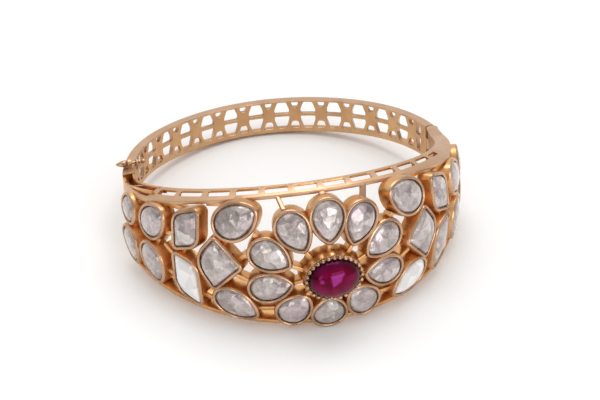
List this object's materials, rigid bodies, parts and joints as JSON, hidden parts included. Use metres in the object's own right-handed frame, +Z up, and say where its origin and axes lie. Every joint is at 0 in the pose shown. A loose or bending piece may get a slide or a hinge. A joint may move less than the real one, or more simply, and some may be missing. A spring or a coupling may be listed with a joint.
{
  "type": "kundan bracelet",
  "caption": "Hinged open-work bangle with foil-look cut stones in deep gold settings round an oval red cabochon, pierced back half, pin hinge and box clasp.",
  "frame": {"origin": "middle of the footprint, on the surface that the bangle lies on", "axes": "+X from the clasp to the hinge, -Y towards the red stone at the front, +Z up; the opening's own axis leans 13.8 degrees back from +Z, towards +Y"},
  "size_m": [0.0644, 0.0632, 0.026],
  "materials": {
    "gold": "polished",
    "polki": "polished",
    "clear_stone": "polished",
    "ruby": "polished"
  },
  "bodies": {
    "front_half": {"front_frame": "gold", "hinge_pin": "gold", "ruby": "ruby", "petal_top": "polki", "petal_bottom": "polki", "petal_1_left": "polki", "petal_1_right": "polki", "petal_2_left": "polki", "petal_2_right": "polki", "petal_3_left": "polki", "petal_3_right": "polki", "petal_4_left": "polki", "petal_4_right": "polki", "top_stone_1_left": "polki", "top_stone_1_right": "polki", "top_stone_2_left": "polki", "top_stone_2_right": "polki", "top_stone_3_left": "polki", "top_stone_3_right": "polki", "top_stone_4_left": "polki", "top_stone_4_right": "polki", "fan_stone_left": "polki", "fan_stone_right": "polki", "low_stone_1_left": "polki", "low_stone_1_right": "clear_stone", "low_stone_2_left": "clear_stone", "low_stone_2_right": "polki", "low_stone_3_left": "polki", "low_stone_3_right": "polki", "low_stone_4_left": "polki", "low_stone_4_right": "polki"},
    "back_half": {"back_band": "gold", "clasp_pin": "gold", "clasp_link": "gold"}
  },
  "joints": [
    {"name": "hinge", "type": "hinge", "parent": "front_half", "child": "back_half", "pos_m": [0.02973, 0.00775, 0.0089], "axis": [0, 0.2385, 0.9711], "range_deg": [-60, 0]}
  ]
}
